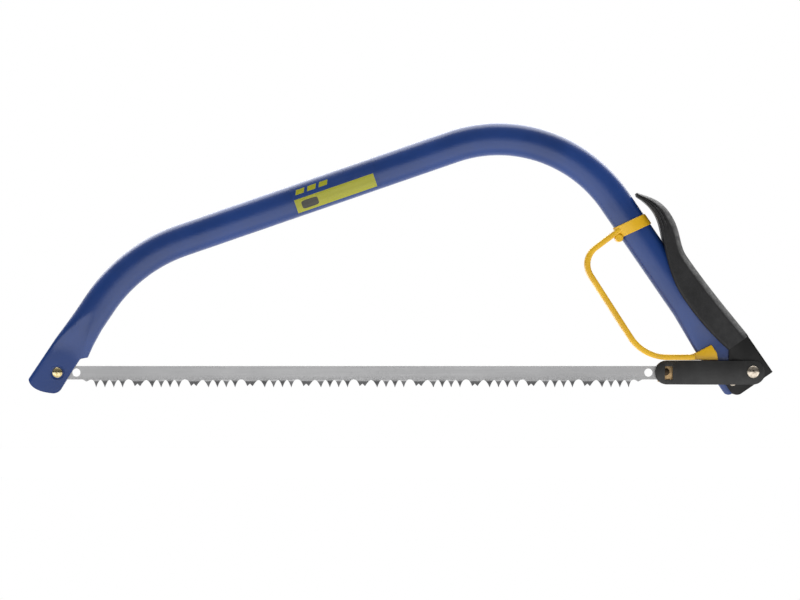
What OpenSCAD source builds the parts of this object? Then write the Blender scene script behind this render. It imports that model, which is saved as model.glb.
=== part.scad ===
// Bow saw with a bent tube frame, a toothed blade, a tensioning lever with a moulded grip and a hand guard.
// +X runs from the nose to the lever, +Z is up and +Y points away from the side with the label.
// The origin is under the middle of the saw, at the height of its lowest point. Sizes are in millimetres.

/* [Blade] */
// Distance between the two end holes that carry the blade
blade_span = 530; // [500:1:560]
// Thickness of the blade
blade_t = 0.8; // [0.6:0.1:0.9]
// Height of the hole line above the saw's lowest point
blade_z = 19.3; // [19:0.1:20]
// Height of the blade's back above the hole line
blade_back = 5.7; // [5:0.1:6.5]
// Depth of the plain blade ends below the hole line
blade_belly = 6; // [5.5:0.1:6.3]
// Depth of the pointed teeth below the hole line
tooth_depth = 13; // [11:0.1:14]
// Depth of the rakers below the hole line
raker_depth = 11.8; // [10:0.1:12.5]
// Radius of every hole in the blade
blade_hole_r = 3.55; // [3.5:0.05:4]
// Distance from each end hole to the spare hole beside it
spare_pitch = 16.3; // [15:0.1:17]
// Number of tooth groups, each of four pointed teeth
tooth_groups = 10; // [4:1:10]
// Distance from one tooth group to the next
group_pitch = 48.9; // [46:0.1:49]
// Distance from one pointed tooth to the next
tooth_pitch = 7.7; // [7:0.1:8]

/* [Tube frame] */
// Width of the tube in the plane of the saw
tube_w = 28.2; // [26:0.1:29]
// Thickness of the tube across the plane of the saw
tube_t = 20; // [18:0.5:20]
// Wall of the tube
tube_wall = 1.2; // [1:0.1:2]
// Lean of the front leg from upright, in degrees
front_lean = 33.8; // [30:0.1:36]
// Lean of the rear leg from upright, in degrees
rear_lean = 34.5; // [33:0.1:35]
// Radius of the front bend along the tube's middle
front_bend_r = 140; // [110:1:140]
// Radius of the rear bend along the tube's middle
rear_bend_r = 122; // [100:1:125]
// Half the gap between the flattened leaves at the nose
nose_slot = 1.4; // [1.2:0.1:1.6]
// Half the thickness of the flattened rear end
heel_half = 4; // [3.5:0.1:4]

/* [Lever and link] */
// Thickness of the lever's folded steel sheet
lever_sheet = 1.8; // [1.5:0.1:1.9]
// Gap between the frame's flattened heel and the lever's cheeks
cheek_gap = 0.3; // [0.2:0.05:0.4]
// Thickness of the link plates
link_sheet = 1.6; // [1.2:0.1:1.8]
// Height of the link plates
link_h = 20.8; // [19:0.1:20.8]
// Radius of the rivet shanks that the lever and link turn on
rivet_r = 3; // [2.5:0.1:3]
// Radial clearance of a turning fit
running_gap = 0.05; // [0.02:0.01:0.1]
// Radius of the hook pin that holds the blade's rear hole
hook_pin_r = 1.8; // [1.5:0.1:1.8]

/* [Grip and guard] */
// Half the thickness of the lever's grip
grip_half = 13.4; // [12.5:0.1:15]
// Clearance between the grip and the tube
grip_gap = 0.6; // [0.4:0.1:0.8]
// Thickness of the guard's strip
guard_t = 4.8; // [4:0.1:5]
// Half the width of the guard's strip
guard_half = 9; // [7:0.5:10]
// Thickness of the guard's band round the tube
band_t = 1.2; // [1:0.1:2]

/* [Hidden] */
$fn = 48;

// Main points in the X-Z plane
front_pin = [-blade_span / 2 - 33, blade_z];
rear_hole = [blade_span / 2 - 33, blade_z];
hook_point = rear_hole + [-1.4, 0.7];
lever_pivot = rear_hole + [56.5, -7.8];
link_pivot = lever_pivot + [17.5, 8.5];

// The frame's legs: how far each pin lies below its bend's corner and to the inside of the tube's middle
front_leg = 118;
front_pin_inset = 2.7;
rear_leg = 281;
rear_pin_inset = 4.9;
front_corner = front_pin + front_leg * [sin(front_lean), cos(front_lean)]
    - front_pin_inset * [cos(front_lean), -sin(front_lean)];
rear_corner = lever_pivot + rear_leg * [-sin(rear_lean), cos(rear_lean)]
    + rear_pin_inset * [cos(rear_lean), sin(rear_lean)];
top_run = rear_corner - front_corner;
top_rise = atan2(top_run.y, top_run.x);
front_turn = 90 - front_lean - top_rise;
rear_turn = 90 - rear_lean + top_rise;
front_tangent = front_bend_r * tan(front_turn / 2);
rear_tangent = rear_bend_r * tan(rear_turn / 2);
top_length = norm(top_run) - front_tangent - rear_tangent;

// Across the saw, as distances from its middle plane
nose_half = nose_slot + tube_wall;
cheek_in = heel_half + cheek_gap;
cheek_out = cheek_in + lever_sheet;
link_nose_in = 2.6;
link_belly_in = 8.6;
link_heel_in = cheek_out + cheek_gap;
rivet_head_h = 2.1;

// Where the tube starts to flatten and where it is flat, up each leg from its pin
nose_flat = 18;
nose_full = 60;
heel_flat = 40;
heel_full = 80;

/* ---- Curves and placing ---- */

function arc(c, r, a0, a1, n = 6) = [for (i = [0:n]) let (a = a0 + (a1 - a0) * i / n) c + r * [cos(a), sin(a)]];

function bezier(a, b, c, d, n = 6) = [for (i = [0:n - 1]) let (t = i / n, s = 1 - t)
    s * s * s * a + 3 * s * s * t * b + 3 * s * t * t * c + t * t * t * d];

// Moves a shape's origin to a point in the X-Z plane
module at(p) {
    translate([p.x, 0, p.y]) children();
}

// A flat outline, drawn in X and Z, as a plate from y0 to y1
module plate(y0, y1) {
    translate([0, y1, 0]) rotate([90, 0, 0]) linear_extrude(y1 - y0) children();
}

// A round bar along Y from y0 to y1
module bar(r, y0, y1) {
    translate([0, y1, 0]) rotate([90, 0, 0]) cylinder(r = r, h = y1 - y0);
}

// A domed rivet head that stands on a face at y and points along -Y
module dome_head(r, h, y) {
    rim = h * 0.3;
    ball = (r * r + (h - rim) * (h - rim)) / (2 * (h - rim));
    translate([0, y, 0]) rotate([90, 0, 0]) rotate_extrude()
        intersection() {
            square([r, h]);
            translate([0, h - ball]) circle(ball);
        }
}

// Frames of the two legs: Z runs up the leg, and X points into the bow at the front and out of it at the rear
module on_front_leg() {
    at(front_pin) rotate([0, front_lean, 0]) children();
}

module on_rear_leg() {
    at(lever_pivot) rotate([0, -rear_lean, 0]) children();
}

/* ---- Tube frame ---- */

// The tube's flat oval, grown or shrunk by g
module tube_oval(g = 0) {
    r = tube_t / 2 + g;
    $fn = 32;
    side = (tube_w - tube_t) / 2;
    translate([side, 0]) circle(r);
    translate([-side, 0]) circle(r);
    square([2 * side, 2 * r], center = true);
}

module tube_wall_section() {
    difference() {
        tube_oval();
        tube_oval(-tube_wall);
    }
}

// A slab across the leg that is flat_half thick at its foot and full_half thick from v_full up
module flattening(flat_half, full_half, v_flat, v_full, v_top) {
    foot = -40;
    right = [[flat_half, foot], [flat_half, v_flat], [full_half, v_full], [full_half, v_top]];
    left = [[-full_half, v_top], [-full_half, v_full], [-flat_half, v_flat], [-flat_half, foot]];
    rotate([90, 0, 90]) linear_extrude(120, center = true) polygon(concat(right, left));
}

// The nose: the leaf outline with the notch cut out above the blade
module nose_outline() {
    polygon(concat(
        [[-16.8, 52], [-18, 24], [-18, -18.6], [-16.9, -20.6]],
        [[-13, -22.2], [-9.2, -22.7], [-5.8, -21.9]],
        arc([2.5, -10.5], 8, 295, 360, 4),
        [[9.7, 12]],
        arc([12.9, 19.4], 3.2, 180, 125, 4),
        [[14.6, 25.5], [12.7, 37], [11.4, 52]]
    ));
}

module front_end() {
    run = front_leg - front_tangent;
    difference() {
        union() {
            intersection() {
                translate([-front_pin_inset, 0, 20]) linear_extrude(run - 20) tube_oval();
                flattening(nose_half, tube_t / 2, nose_flat, nose_full, run);
            }
            plate(-nose_half, nose_half) nose_outline();
        }
        intersection() {
            translate([-front_pin_inset, 0, 0]) linear_extrude(run + 1) tube_oval(-tube_wall);
            flattening(nose_slot, tube_t / 2 - tube_wall, nose_flat, nose_full, run + 1);
        }
        plate(-nose_slot, nose_slot) polygon([[-16.4, -40], [40, -40], [40, 24], [-16.4, 24]]);
        bar(blade_hole_r - running_gap, -nose_half - 1, 0);
    }
}

// The heel: wide enough for the lever to close over, stepped in where the link's rivet swings past it
module heel_outline() {
    step_r = 15.5;
    step_v = 3;
    foot_v = -8.3;
    polygon(concat(
        [[-9.2, 76], [-11.6, 41], [-11.6, -3.3]],
        arc([-6.6, foot_v + 5], 5, 180, 270, 4),
        arc([0, 0], step_r, asin(foot_v / step_r), asin(step_v / step_r), 4),
        [[21.3, step_v], [21.3, 41], [19, 76]]
    ));
}

module rear_end() {
    run = rear_leg - rear_tangent;
    difference() {
        union() {
            intersection() {
                translate([rear_pin_inset, 0, 40]) linear_extrude(run - 40) tube_oval();
                flattening(heel_half, tube_t / 2, heel_flat, heel_full, run);
            }
            plate(-heel_half, heel_half) heel_outline();
        }
        intersection() {
            translate([rear_pin_inset, 0, 0]) linear_extrude(run + 1) tube_oval(-tube_wall);
            flattening(heel_half - tube_wall, tube_t / 2 - tube_wall, heel_flat, heel_full, run + 1);
        }
        plate(-heel_half + tube_wall, heel_half - tube_wall)
            polygon([[-10, -20], [40, -20], [40, 3], [19.8, 3], [19.8, 41], [-10, 41]]);
        bar(5, -heel_half - 1, heel_half + 1);
    }
}

module bend(centre, r, from, turn) {
    at(centre) rotate([0, -from, 0]) rotate([90, 0, 0]) rotate_extrude(angle = turn, $fn = 64)
        translate([r, 0]) tube_wall_section();
}

// Along the straight top of the bow: Z runs from nose to heel and X points into the bow
module on_top_run() {
    at(front_corner + front_tangent * top_run / norm(top_run)) rotate([0, 90 - top_rise, 0]) children();
}

// A thin bead round the joint of two runs of tube, inside and out, which makes them one solid
module seam() {
    linear_extrude(0.8, center = true) difference() {
        tube_oval(0.2);
        tube_oval(-tube_wall - 0.2);
    }
}

module frame_tube() {
    inward = [sin(top_rise), -cos(top_rise)];
    along = top_run / norm(top_run);
    color("#26437d") {
        on_front_leg() translate([-front_pin_inset, 0, front_leg - front_tangent]) seam();
        on_top_run() seam();
        on_top_run() translate([0, 0, top_length]) seam();
        on_rear_leg() translate([rear_pin_inset, 0, rear_leg - rear_tangent]) seam();
        on_front_leg() front_end();
        bend(front_corner + front_tangent * along + front_bend_r * inward, front_bend_r,
            90 + top_rise, front_turn);
        on_top_run() linear_extrude(top_length) tube_wall_section();
        bend(rear_corner - rear_tangent * along + rear_bend_r * inward, rear_bend_r,
            rear_lean, rear_turn);
        on_rear_leg() rear_end();
    }
}

module frame_label() {
    label_t = 0.25;
    label_start = 103;
    label_length = 76;
    color("#b6b75a") on_top_run() translate([0, 0, label_start]) linear_extrude(label_length)
        intersection() {
            difference() {
                tube_oval(label_t);
                tube_oval();
            }
            translate([-12.5, -tube_t]) square([25, tube_t]);
        }
}

/* ---- Blade ---- */

// An arched gullet from the tip at a to the tip at b, with its roof at depth d; a high p is a flatter roof
function gullet(a, b, d, p, n) = [for (i = [1:n - 1]) let (t = i / n, w = pow(abs(2 * t - 1), p), tip = a + (b - a) * t)
    [tip.x, -d + (tip.y + d) * w]];

function group_points(x) = let (last = x + 3 * tooth_pitch) concat(
    [for (i = [0:2]) each concat([[x + i * tooth_pitch, -tooth_depth]],
        gullet([x + i * tooth_pitch, -tooth_depth], [x + (i + 1) * tooth_pitch, -tooth_depth], 6.4, 1.7, 6))],
    [[last, -tooth_depth]]);

// The raker between two groups, with the wide gullets on both sides of it
function raker_points(x) = let (
        from = [x + 3 * tooth_pitch, -tooth_depth],
        to = [x + group_pitch, -tooth_depth],
        middle = (from.x + to.x) / 2,
        left = [middle - 2.35, -raker_depth],
        right = [middle + 2.35, -raker_depth])
    concat(gullet(from, left, 6, 2.6, 7), [left, [middle, -raker_depth + 2.2], right], gullet(right, to, 6, 2.6, 7));

module saw_blade() {
    end = 7.8;
    first = (blade_span - (tooth_groups - 1) * group_pitch - 3 * tooth_pitch) / 2;
    last = blade_span - first;
    nub = 8.3;
    color("#a6a6a8") at(front_pin) difference() {
        plate(-blade_t / 2, blade_t / 2) polygon(concat(
            [[-end, blade_back], [-end, -blade_belly], [first - nub - 3.5, -blade_belly], [first - nub, -7.8]],
            gullet([first - nub, -7.8], [first, -tooth_depth], 6.2, 2.4, 6),
            [for (g = [0:tooth_groups - 1]) each concat(group_points(first + g * group_pitch),
                g < tooth_groups - 1 ? raker_points(first + g * group_pitch) : [])],
            gullet([last, -tooth_depth], [last + nub, -7.8], 6.2, 2.4, 6),
            [[last + nub, -7.8], [last + nub + 3.5, -blade_belly]],
            [[blade_span + end, -blade_belly], [blade_span + end, blade_back]]
        ));
        for (x = [0, spare_pitch, blade_span - spare_pitch, blade_span])
            translate([x, 0, 0]) bar(blade_hole_r, -blade_t, blade_t);
    }
}

// Riveted into the near leaf only, so that a slack blade slips off past its end
module front_blade_rivet() {
    color("#b9a06a") at(front_pin) {
        bar(blade_hole_r - running_gap, -nose_half, blade_t / 2 + 0.2);
        dome_head(4.45, rivet_head_h, -nose_half);
    }
}

/* ---- Link ---- */

module link_outline() {
    r = link_h / 2;
    nose = hook_point + [1, -0.6];
    at_heel = [link_pivot.x, nose.y];
    translate(nose) circle(r);
    translate(at_heel) circle(r);
    translate([nose.x, nose.y - r]) square([at_heel.x - nose.x, link_h]);
}

// One link plate on the +Y side: it steps out round the lever's rivet and back in at its own
module link_plate(window) {
    x = link_pivot.x;
    step_out = [x - 68, x - 49.5];
    step_in = [x - 11.7, x - 7.7];
    nose_end = x - 90;
    heel_end = x + 14;
    t = link_sheet;
    difference() {
        intersection() {
            plate(0, 20) link_outline();
            linear_extrude(60) polygon([
                [nose_end, link_nose_in], [step_out[0], link_nose_in], [step_out[1], link_belly_in],
                [step_in[0], link_belly_in], [step_in[1], link_heel_in], [heel_end, link_heel_in],
                [heel_end, link_heel_in + t], [step_in[1] + 0.8, link_heel_in + t],
                [step_in[0] + 0.8, link_belly_in + t], [step_out[1] - 0.5, link_belly_in + t],
                [step_out[0] - 0.5, link_nose_in + t], [nose_end, link_nose_in + t]
            ]);
        }
        at(link_pivot) bar(rivet_r, 0, 20);
        if (window)
            plate(0, 6) translate([hook_point.x - 0.8, blade_z - 6.2]) square([6.8, 11.6]);
    }
}

module link_plate_far() {
    color("#333333") link_plate(false);
}

module link_plate_near() {
    color("#333333") mirror([0, 1, 0]) link_plate(true);
}

// The plated pad inside the near plate that carries the hook pin
module hook_plate() {
    pad_t = 1.6;
    color("#977f5d") difference() {
        plate(-link_nose_in, -link_nose_in + pad_t)
            translate([hook_point.x - 7, blade_z - 8]) square([14.4, 15.6]);
        at(hook_point) bar(hook_pin_r, -link_nose_in - 1, 0);
        at(hook_point) bar(3.3, -link_nose_in - 1, -link_nose_in + 0.8);
    }
}

module hook_pin() {
    color("#3a2c1c") at(hook_point) {
        bar(3.3, -link_nose_in, -link_nose_in + 0.8);
        bar(hook_pin_r, -link_nose_in, blade_t / 2 + 0.3);
    }
}

// A rivet through the saw with a domed head on both sides, the heads' undersides at +half and -half
module through_rivet(r, half, head_r, head_h) {
    bar(r, -half, half);
    dome_head(head_r, head_h, -half);
    mirror([0, 1, 0]) dome_head(head_r, head_h, -half);
}

module link_rivet() {
    color("#8f867a") at(link_pivot) through_rivet(rivet_r, link_heel_in + link_sheet, 5.35, 2.4);
}

/* ---- Lever ---- */

// The lever's back edge, from its foot up into the grip
function lever_back(inset) = [[33.5 - inset, -12.7], [33.5 - inset, 27], [26.8 - inset, 62], [26.8 - inset, 140]];

module lever_cheeks() {
    polygon(concat(
        lever_back(0),
        [[21, 140], [21, 80], [22.6, 40], [22, 36], [12.6, 24.6], [8, 18], [-6.5, 2.5]],
        arc([0.4, -5.8], 6.9, 180, 270, 5)
    ));
}

module lever_channel() {
    color("#252324") on_rear_leg() difference() {
        plate(-cheek_out, cheek_out) lever_cheeks();
        plate(-cheek_in, cheek_in)
            polygon(concat([[-20, -30], [33.5 - lever_sheet, -30]], lever_back(lever_sheet), [[26.8 - lever_sheet, 160],
                [-20, 160]]));
        bar(rivet_r, -cheek_out - 1, cheek_out + 1);
        rotate([0, rear_lean, 0]) at(link_pivot - lever_pivot)
            bar(rivet_r + running_gap, -cheek_out - 1, cheek_out + 1);
    }
}

module grip_outline() {
    polygon(concat(
        bezier([33.9, 25], [32.5, 45], [28.9, 72], [28.7, 112]),
        bezier([28.7, 112], [28.6, 125], [38, 133], [38.1, 152]),
        bezier([38.1, 152], [38.1, 166], [31.5, 173], [24.6, 182.2]),
        bezier([24.6, 182.2], [23.6, 183], [21.8, 181.5], [22.2, 179.5], 3),
        bezier([22.2, 179.5], [25.5, 172], [26.9, 166], [26.7, 159.5]),
        bezier([26.7, 159.5], [26.4, 152], [23.5, 145], [20, 136.8]),
        bezier([20, 136.8], [14, 122], [5.3, 106], [5.3, 82]),
        bezier([5.3, 82], [5.3, 60], [8.5, 42], [12.4, 25])
    ));
}

// The grip closes over the outer half of the tube and holds the channel's upper end in a pocket
module lever_grip() {
    hook_half = 8;
    foot_half = 9;
    color("#303032") on_rear_leg() difference() {
        intersection() {
            plate(-grip_half, grip_half) grip_outline();
            rotate([90, 0, 90]) linear_extrude(120, center = true) polygon([
                [foot_half, 20], [foot_half, 26], [grip_half, 62], [grip_half, 125], [hook_half, 184],
                [-hook_half, 184], [-grip_half, 125], [-grip_half, 62], [-foot_half, 26], [-foot_half, 20]
            ]);
        }
        intersection() {
            plate(-tube_t, tube_t) polygon([[-20, 0], [22, 0], [22, 41], [19.8, 78], [19.8, 200], [-20, 200]]);
            flattening(heel_half + grip_gap, tube_t / 2 + grip_gap, heel_flat, heel_full, 200);
        }
        plate(-cheek_out, cheek_out) lever_cheeks();
    }
}

module pivot_bush() {
    color("#8c8c8c") at(lever_pivot) difference() {
        bar(5, -heel_half, heel_half);
        bar(rivet_r + running_gap, -heel_half - 1, heel_half + 1);
    }
}

module lever_pivot_rivet() {
    color("#8f867a") at(lever_pivot) through_rivet(rivet_r, cheek_out, 3.7, rivet_head_h);
}

/* ---- Hand guard ---- */

// How far the path turns left at its point i, and how far from that point its round corner starts
function turn_at(p, i) = let (a = p[i] - p[i - 1], b = p[i + 1] - p[i]) atan2(a.x * b.y - a.y * b.x, a * b);
function reach_at(p, r, i) = r[i] * tan(turn_at(p, i) / 2);

// The line that runs off to the left of a path with round corners: r is the radius at each inner point of p
function side_line(p, r, off) = let (
        dirs = [for (i = [0:len(p) - 2]) (p[i + 1] - p[i]) / norm(p[i + 1] - p[i])],
        lefts = [for (d = dirs) [-d.y, d.x]])
    concat(
        [p[0] + off * lefts[0]],
        [for (i = [1:len(p) - 2]) each let (
                centre = p[i] - dirs[i - 1] * reach_at(p, r, i) + lefts[i - 1] * r[i],
                from = atan2(-lefts[i - 1].y, -lefts[i - 1].x))
            arc(centre, r[i] - off, from, from + turn_at(p, i), 10)],
        [p[len(p) - 1] + off * lefts[len(lefts) - 1]]
    );

function reversed(list) = [for (i = [len(list) - 1:-1:0]) list[i]];

module guard_strip(p, r) {
    polygon(concat(side_line(p, r, guard_t / 2), reversed(side_line(p, r, -guard_t / 2))));
}

module hand_guard() {
    top = lever_pivot + [-96.2, 133.1];
    strip_z = 30.3 + guard_t / 2;
    path = [top, lever_pivot + [-132.2, 106.3], [lever_pivot.x - 77.4, strip_z], [lever_pivot.x - 33, strip_z]];
    band_v = 160.8;
    band_half = 5.2;
    band_tilt = 9.5;
    color("#e0b022") difference() {
        union() {
            plate(-guard_half, guard_half) guard_strip(path, [0, 18, 38]);
            on_rear_leg() {
                intersection() {
                    translate([rear_pin_inset, 0, band_v - 20]) linear_extrude(40) tube_oval(band_t);
                    translate([rear_pin_inset, 0, band_v]) rotate([0, band_tilt, 0])
                        cube([60, 60, 2 * band_half], center = true);
                }
                translate([-10.6, 0, 158.6]) bar(3.4, -guard_half, guard_half);
            }
            plate(-heel_half - 1.8, heel_half + 1.8) polygon([
                lever_pivot + [-40, 18.8], lever_pivot + [-12.5, 18.8], lever_pivot + [-13.6, 24.8],
                lever_pivot + [-18.5, 32.2], lever_pivot + [-32.5, 24.8], lever_pivot + [-40, 22.6]
            ]);
        }
        on_rear_leg() {
            translate([rear_pin_inset, 0, 100]) linear_extrude(85) tube_oval();
            plate(-heel_half, heel_half) polygon([[-11.6, 0], [40, 0], [40, 50], [-11.6, 41]]);
            plate(-20, 20) polygon([[-8.6, 0], [40, 0], [40, 28], [-8.6, 28]]);
        }
    }
}

frame_tube();
frame_label();
front_blade_rivet();
pivot_bush();
hand_guard();
saw_blade();
link_plate_near();
link_plate_far();
hook_plate();
hook_pin();
link_rivet();
lever_channel();
lever_grip();
lever_pivot_rivet();
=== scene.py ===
"""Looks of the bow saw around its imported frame. Points in the tables are millimetres; meshes are in metres.

A flat point is (x, z). A leg point is (u, v): v runs up the leg from its pin, u across it.
"""
from math import asin, atan2, cos, degrees, hypot, pi, radians, sin, sqrt, tan

import bmesh
import bpy
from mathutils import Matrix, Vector
from mathutils.geometry import tessellate_polygon


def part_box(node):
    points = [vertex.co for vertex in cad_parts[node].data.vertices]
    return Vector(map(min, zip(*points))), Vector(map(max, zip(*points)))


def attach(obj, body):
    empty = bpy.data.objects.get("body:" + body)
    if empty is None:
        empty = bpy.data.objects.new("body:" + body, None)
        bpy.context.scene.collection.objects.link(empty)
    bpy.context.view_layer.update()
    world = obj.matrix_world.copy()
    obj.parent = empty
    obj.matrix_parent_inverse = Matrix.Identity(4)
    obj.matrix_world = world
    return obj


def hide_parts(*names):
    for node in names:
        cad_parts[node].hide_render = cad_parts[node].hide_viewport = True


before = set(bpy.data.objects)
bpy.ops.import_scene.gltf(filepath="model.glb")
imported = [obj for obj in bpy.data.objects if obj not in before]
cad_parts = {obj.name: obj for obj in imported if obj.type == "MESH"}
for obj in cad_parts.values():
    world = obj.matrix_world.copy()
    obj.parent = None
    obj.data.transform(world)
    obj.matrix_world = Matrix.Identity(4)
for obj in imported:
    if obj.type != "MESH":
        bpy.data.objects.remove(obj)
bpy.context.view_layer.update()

MM = 0.001

# ---- Driving points and sizes, from the frame ----


def middle(node):
    """The middle of a CAD node's box as a flat point."""
    low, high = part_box(node)
    return ((low.x + high.x) / 2 / MM, (low.z + high.z) / 2 / MM)


FRONT_PIN = middle("front_blade_rivet")
LEVER_PIVOT = middle("pivot_bush")
LINK_PIVOT = middle("link_rivet")
HOOK = middle("hook_pin")
BLADE_LINE = FRONT_PIN[1]
BLADE_SPAN = 530.0
TUBE_W, TUBE_T, CROWN = 28.2, 20.0, 0.45
FRONT_LEAN, REAR_LEAN = radians(33.8), radians(34.5)
FRONT_LEG, FRONT_INSET, FRONT_BEND = 118.0, 2.7, 140.0
REAR_LEG, REAR_INSET, REAR_BEND = 281.0, 4.9, 122.0
NOSE_HALF, NOSE_SLOT = 2.6, 1.4
HEEL_HALF, HEEL_SLOT = 4.0, 2.8


def front(u, v):
    """A point beside the front leg; u runs into the bow."""
    c, s = cos(FRONT_LEAN), sin(FRONT_LEAN)
    return (FRONT_PIN[0] + u * c + v * s, FRONT_PIN[1] - u * s + v * c)


def rear(u, v):
    """A point beside the rear leg; u runs out of the bow."""
    c, s = cos(REAR_LEAN), sin(REAR_LEAN)
    return (LEVER_PIVOT[0] + u * c - v * s, LEVER_PIVOT[1] + u * s + v * c)


INTO_FRONT = (cos(FRONT_LEAN), -sin(FRONT_LEAN))  # across each leg, towards the inside of the bow
INTO_REAR = (-cos(REAR_LEAN), -sin(REAR_LEAN))


def ramp(x, low, high):
    """0 below low, 1 above high, smooth between."""
    t = min(max((x - low) / (high - low), 0.0), 1.0)
    return t * t * (3 - 2 * t)


def between(table, x):
    """Straight interpolation in a table of (x, value) with rising x."""
    if x <= table[0][0]:
        return table[0][1]
    for (x0, y0), (x1, y1) in zip(table, table[1:]):
        if x <= x1:
            return y0 + (y1 - y0) * (x - x0) / (x1 - x0)
    return table[-1][1]


def arc(centre, r, from_deg, to_deg, n=8):
    angles = [radians(from_deg + (to_deg - from_deg) * i / n) for i in range(n + 1)]
    return [(centre[0] + r * cos(a), centre[1] + r * sin(a)) for a in angles]


def bezier(a, b, c, d, n=16):
    points = []
    for i in range(n):
        t = i / n
        s = 1 - t
        w = (s ** 3, 3 * s * s * t, 3 * s * t * t, t ** 3)
        points.append(tuple(sum(k * p[j] for k, p in zip(w, (a, b, c, d))) for j in (0, 1)))
    return points


# ---- Mesh building ----


def mesh_object(name, verts, faces):
    """An object from points (x, y, z) in millimetres, with its faces turned outwards."""
    mesh = bpy.data.meshes.new(name)
    mesh.from_pydata([tuple(c * MM for c in v) for v in verts], [], faces)
    bm = bmesh.new()
    bm.from_mesh(mesh)
    bmesh.ops.recalc_face_normals(bm, faces=bm.faces)
    bm.to_mesh(mesh)
    bm.free()
    obj = bpy.data.objects.new(name, mesh)
    bpy.context.scene.collection.objects.link(obj)
    return obj


def prism(name, outline, y0, y1):
    """A flat outline as a plate from y0 to y1."""
    n = len(outline)
    verts = [(x, y0, z) for x, z in outline] + [(x, y1, z) for x, z in outline]
    faces = [tuple(range(n)), tuple(range(2 * n - 1, n - 1, -1))]
    faces += [(i, (i + 1) % n, n + (i + 1) % n, n + i) for i in range(n)]
    return mesh_object(name, verts, faces)


def loft(name, rings, capped=True):
    """A skin over rings of equally many points; capped, or closed into a loop."""
    n = len(rings[0])
    verts = [p for ring in rings for p in ring]
    faces = []
    last = len(rings) - 1 if capped else len(rings)
    for k in range(last):
        a, b = k * n, (k + 1) % len(rings) * n
        faces += [(a + i, a + (i + 1) % n, b + (i + 1) % n, b + i) for i in range(n)]
    if capped:
        faces += [tuple(range(n)), tuple(range((len(rings) - 1) * n, len(rings) * n))]
    return mesh_object(name, verts, faces)


def lathe(name, centre, profile, n=48):
    """A solid of revolution about Y from (radius, y) points; a radius of 0 closes it."""
    verts, rows, faces = [], [], []
    for r, y in profile:
        if r == 0:
            rows.append([len(verts)] * n)
            verts.append((centre[0], y, centre[1]))
        else:
            rows.append(range(len(verts), len(verts) + n))
            turn = [2 * pi * i / n for i in range(n)]
            verts += [(centre[0] + r * cos(a), y, centre[1] + r * sin(a)) for a in turn]
    pairs = list(zip(rows, rows[1:]))
    if profile[0][0] != 0:
        pairs.append((rows[-1], rows[0]))
    for low, high in pairs:
        for i in range(n):
            j = (i + 1) % n
            face = dict.fromkeys((low[i], low[j], high[j], high[i]))
            faces.append(tuple(face))
    return mesh_object(name, verts, [f for f in faces if len(f) > 2])


def applied(obj, kind, **settings):
    """Adds a modifier and makes its result the object's mesh."""
    modifier = obj.modifiers.new(kind, kind)
    for key, value in settings.items():
        setattr(modifier, key, value)
    bpy.context.view_layer.update()
    seen = obj.evaluated_get(bpy.context.evaluated_depsgraph_get())
    mesh = bpy.data.meshes.new_from_object(seen)
    obj.modifiers.remove(modifier)
    obj.data = mesh
    return obj


def cut(obj, *tools, how="DIFFERENCE"):
    for tool in tools:
        applied(obj, "BOOLEAN", operation=how, solver="EXACT", object=tool)
        bpy.data.objects.remove(tool)
    return obj


def eased(obj, width, segments=2, limit=40):
    """Rounds the sharp edges."""
    return applied(obj, "BEVEL", width=width * MM, segments=segments, limit_method="ANGLE",
                   angle_limit=radians(limit), harden_normals=False)


def piece(obj, body, slot, material, *nodes, sharp=35):
    """Finishes a mesh as a piece: material, shading, the body it rides on and the nodes it stands for."""
    obj.data.materials.clear()
    obj.data.materials.append(material)
    obj.data.shade_smooth()
    obj.data.set_sharp_from_angle(angle=radians(sharp))
    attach(obj, body)
    if nodes:
        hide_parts(*nodes)
    return obj


# ---- Materials ----


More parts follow.
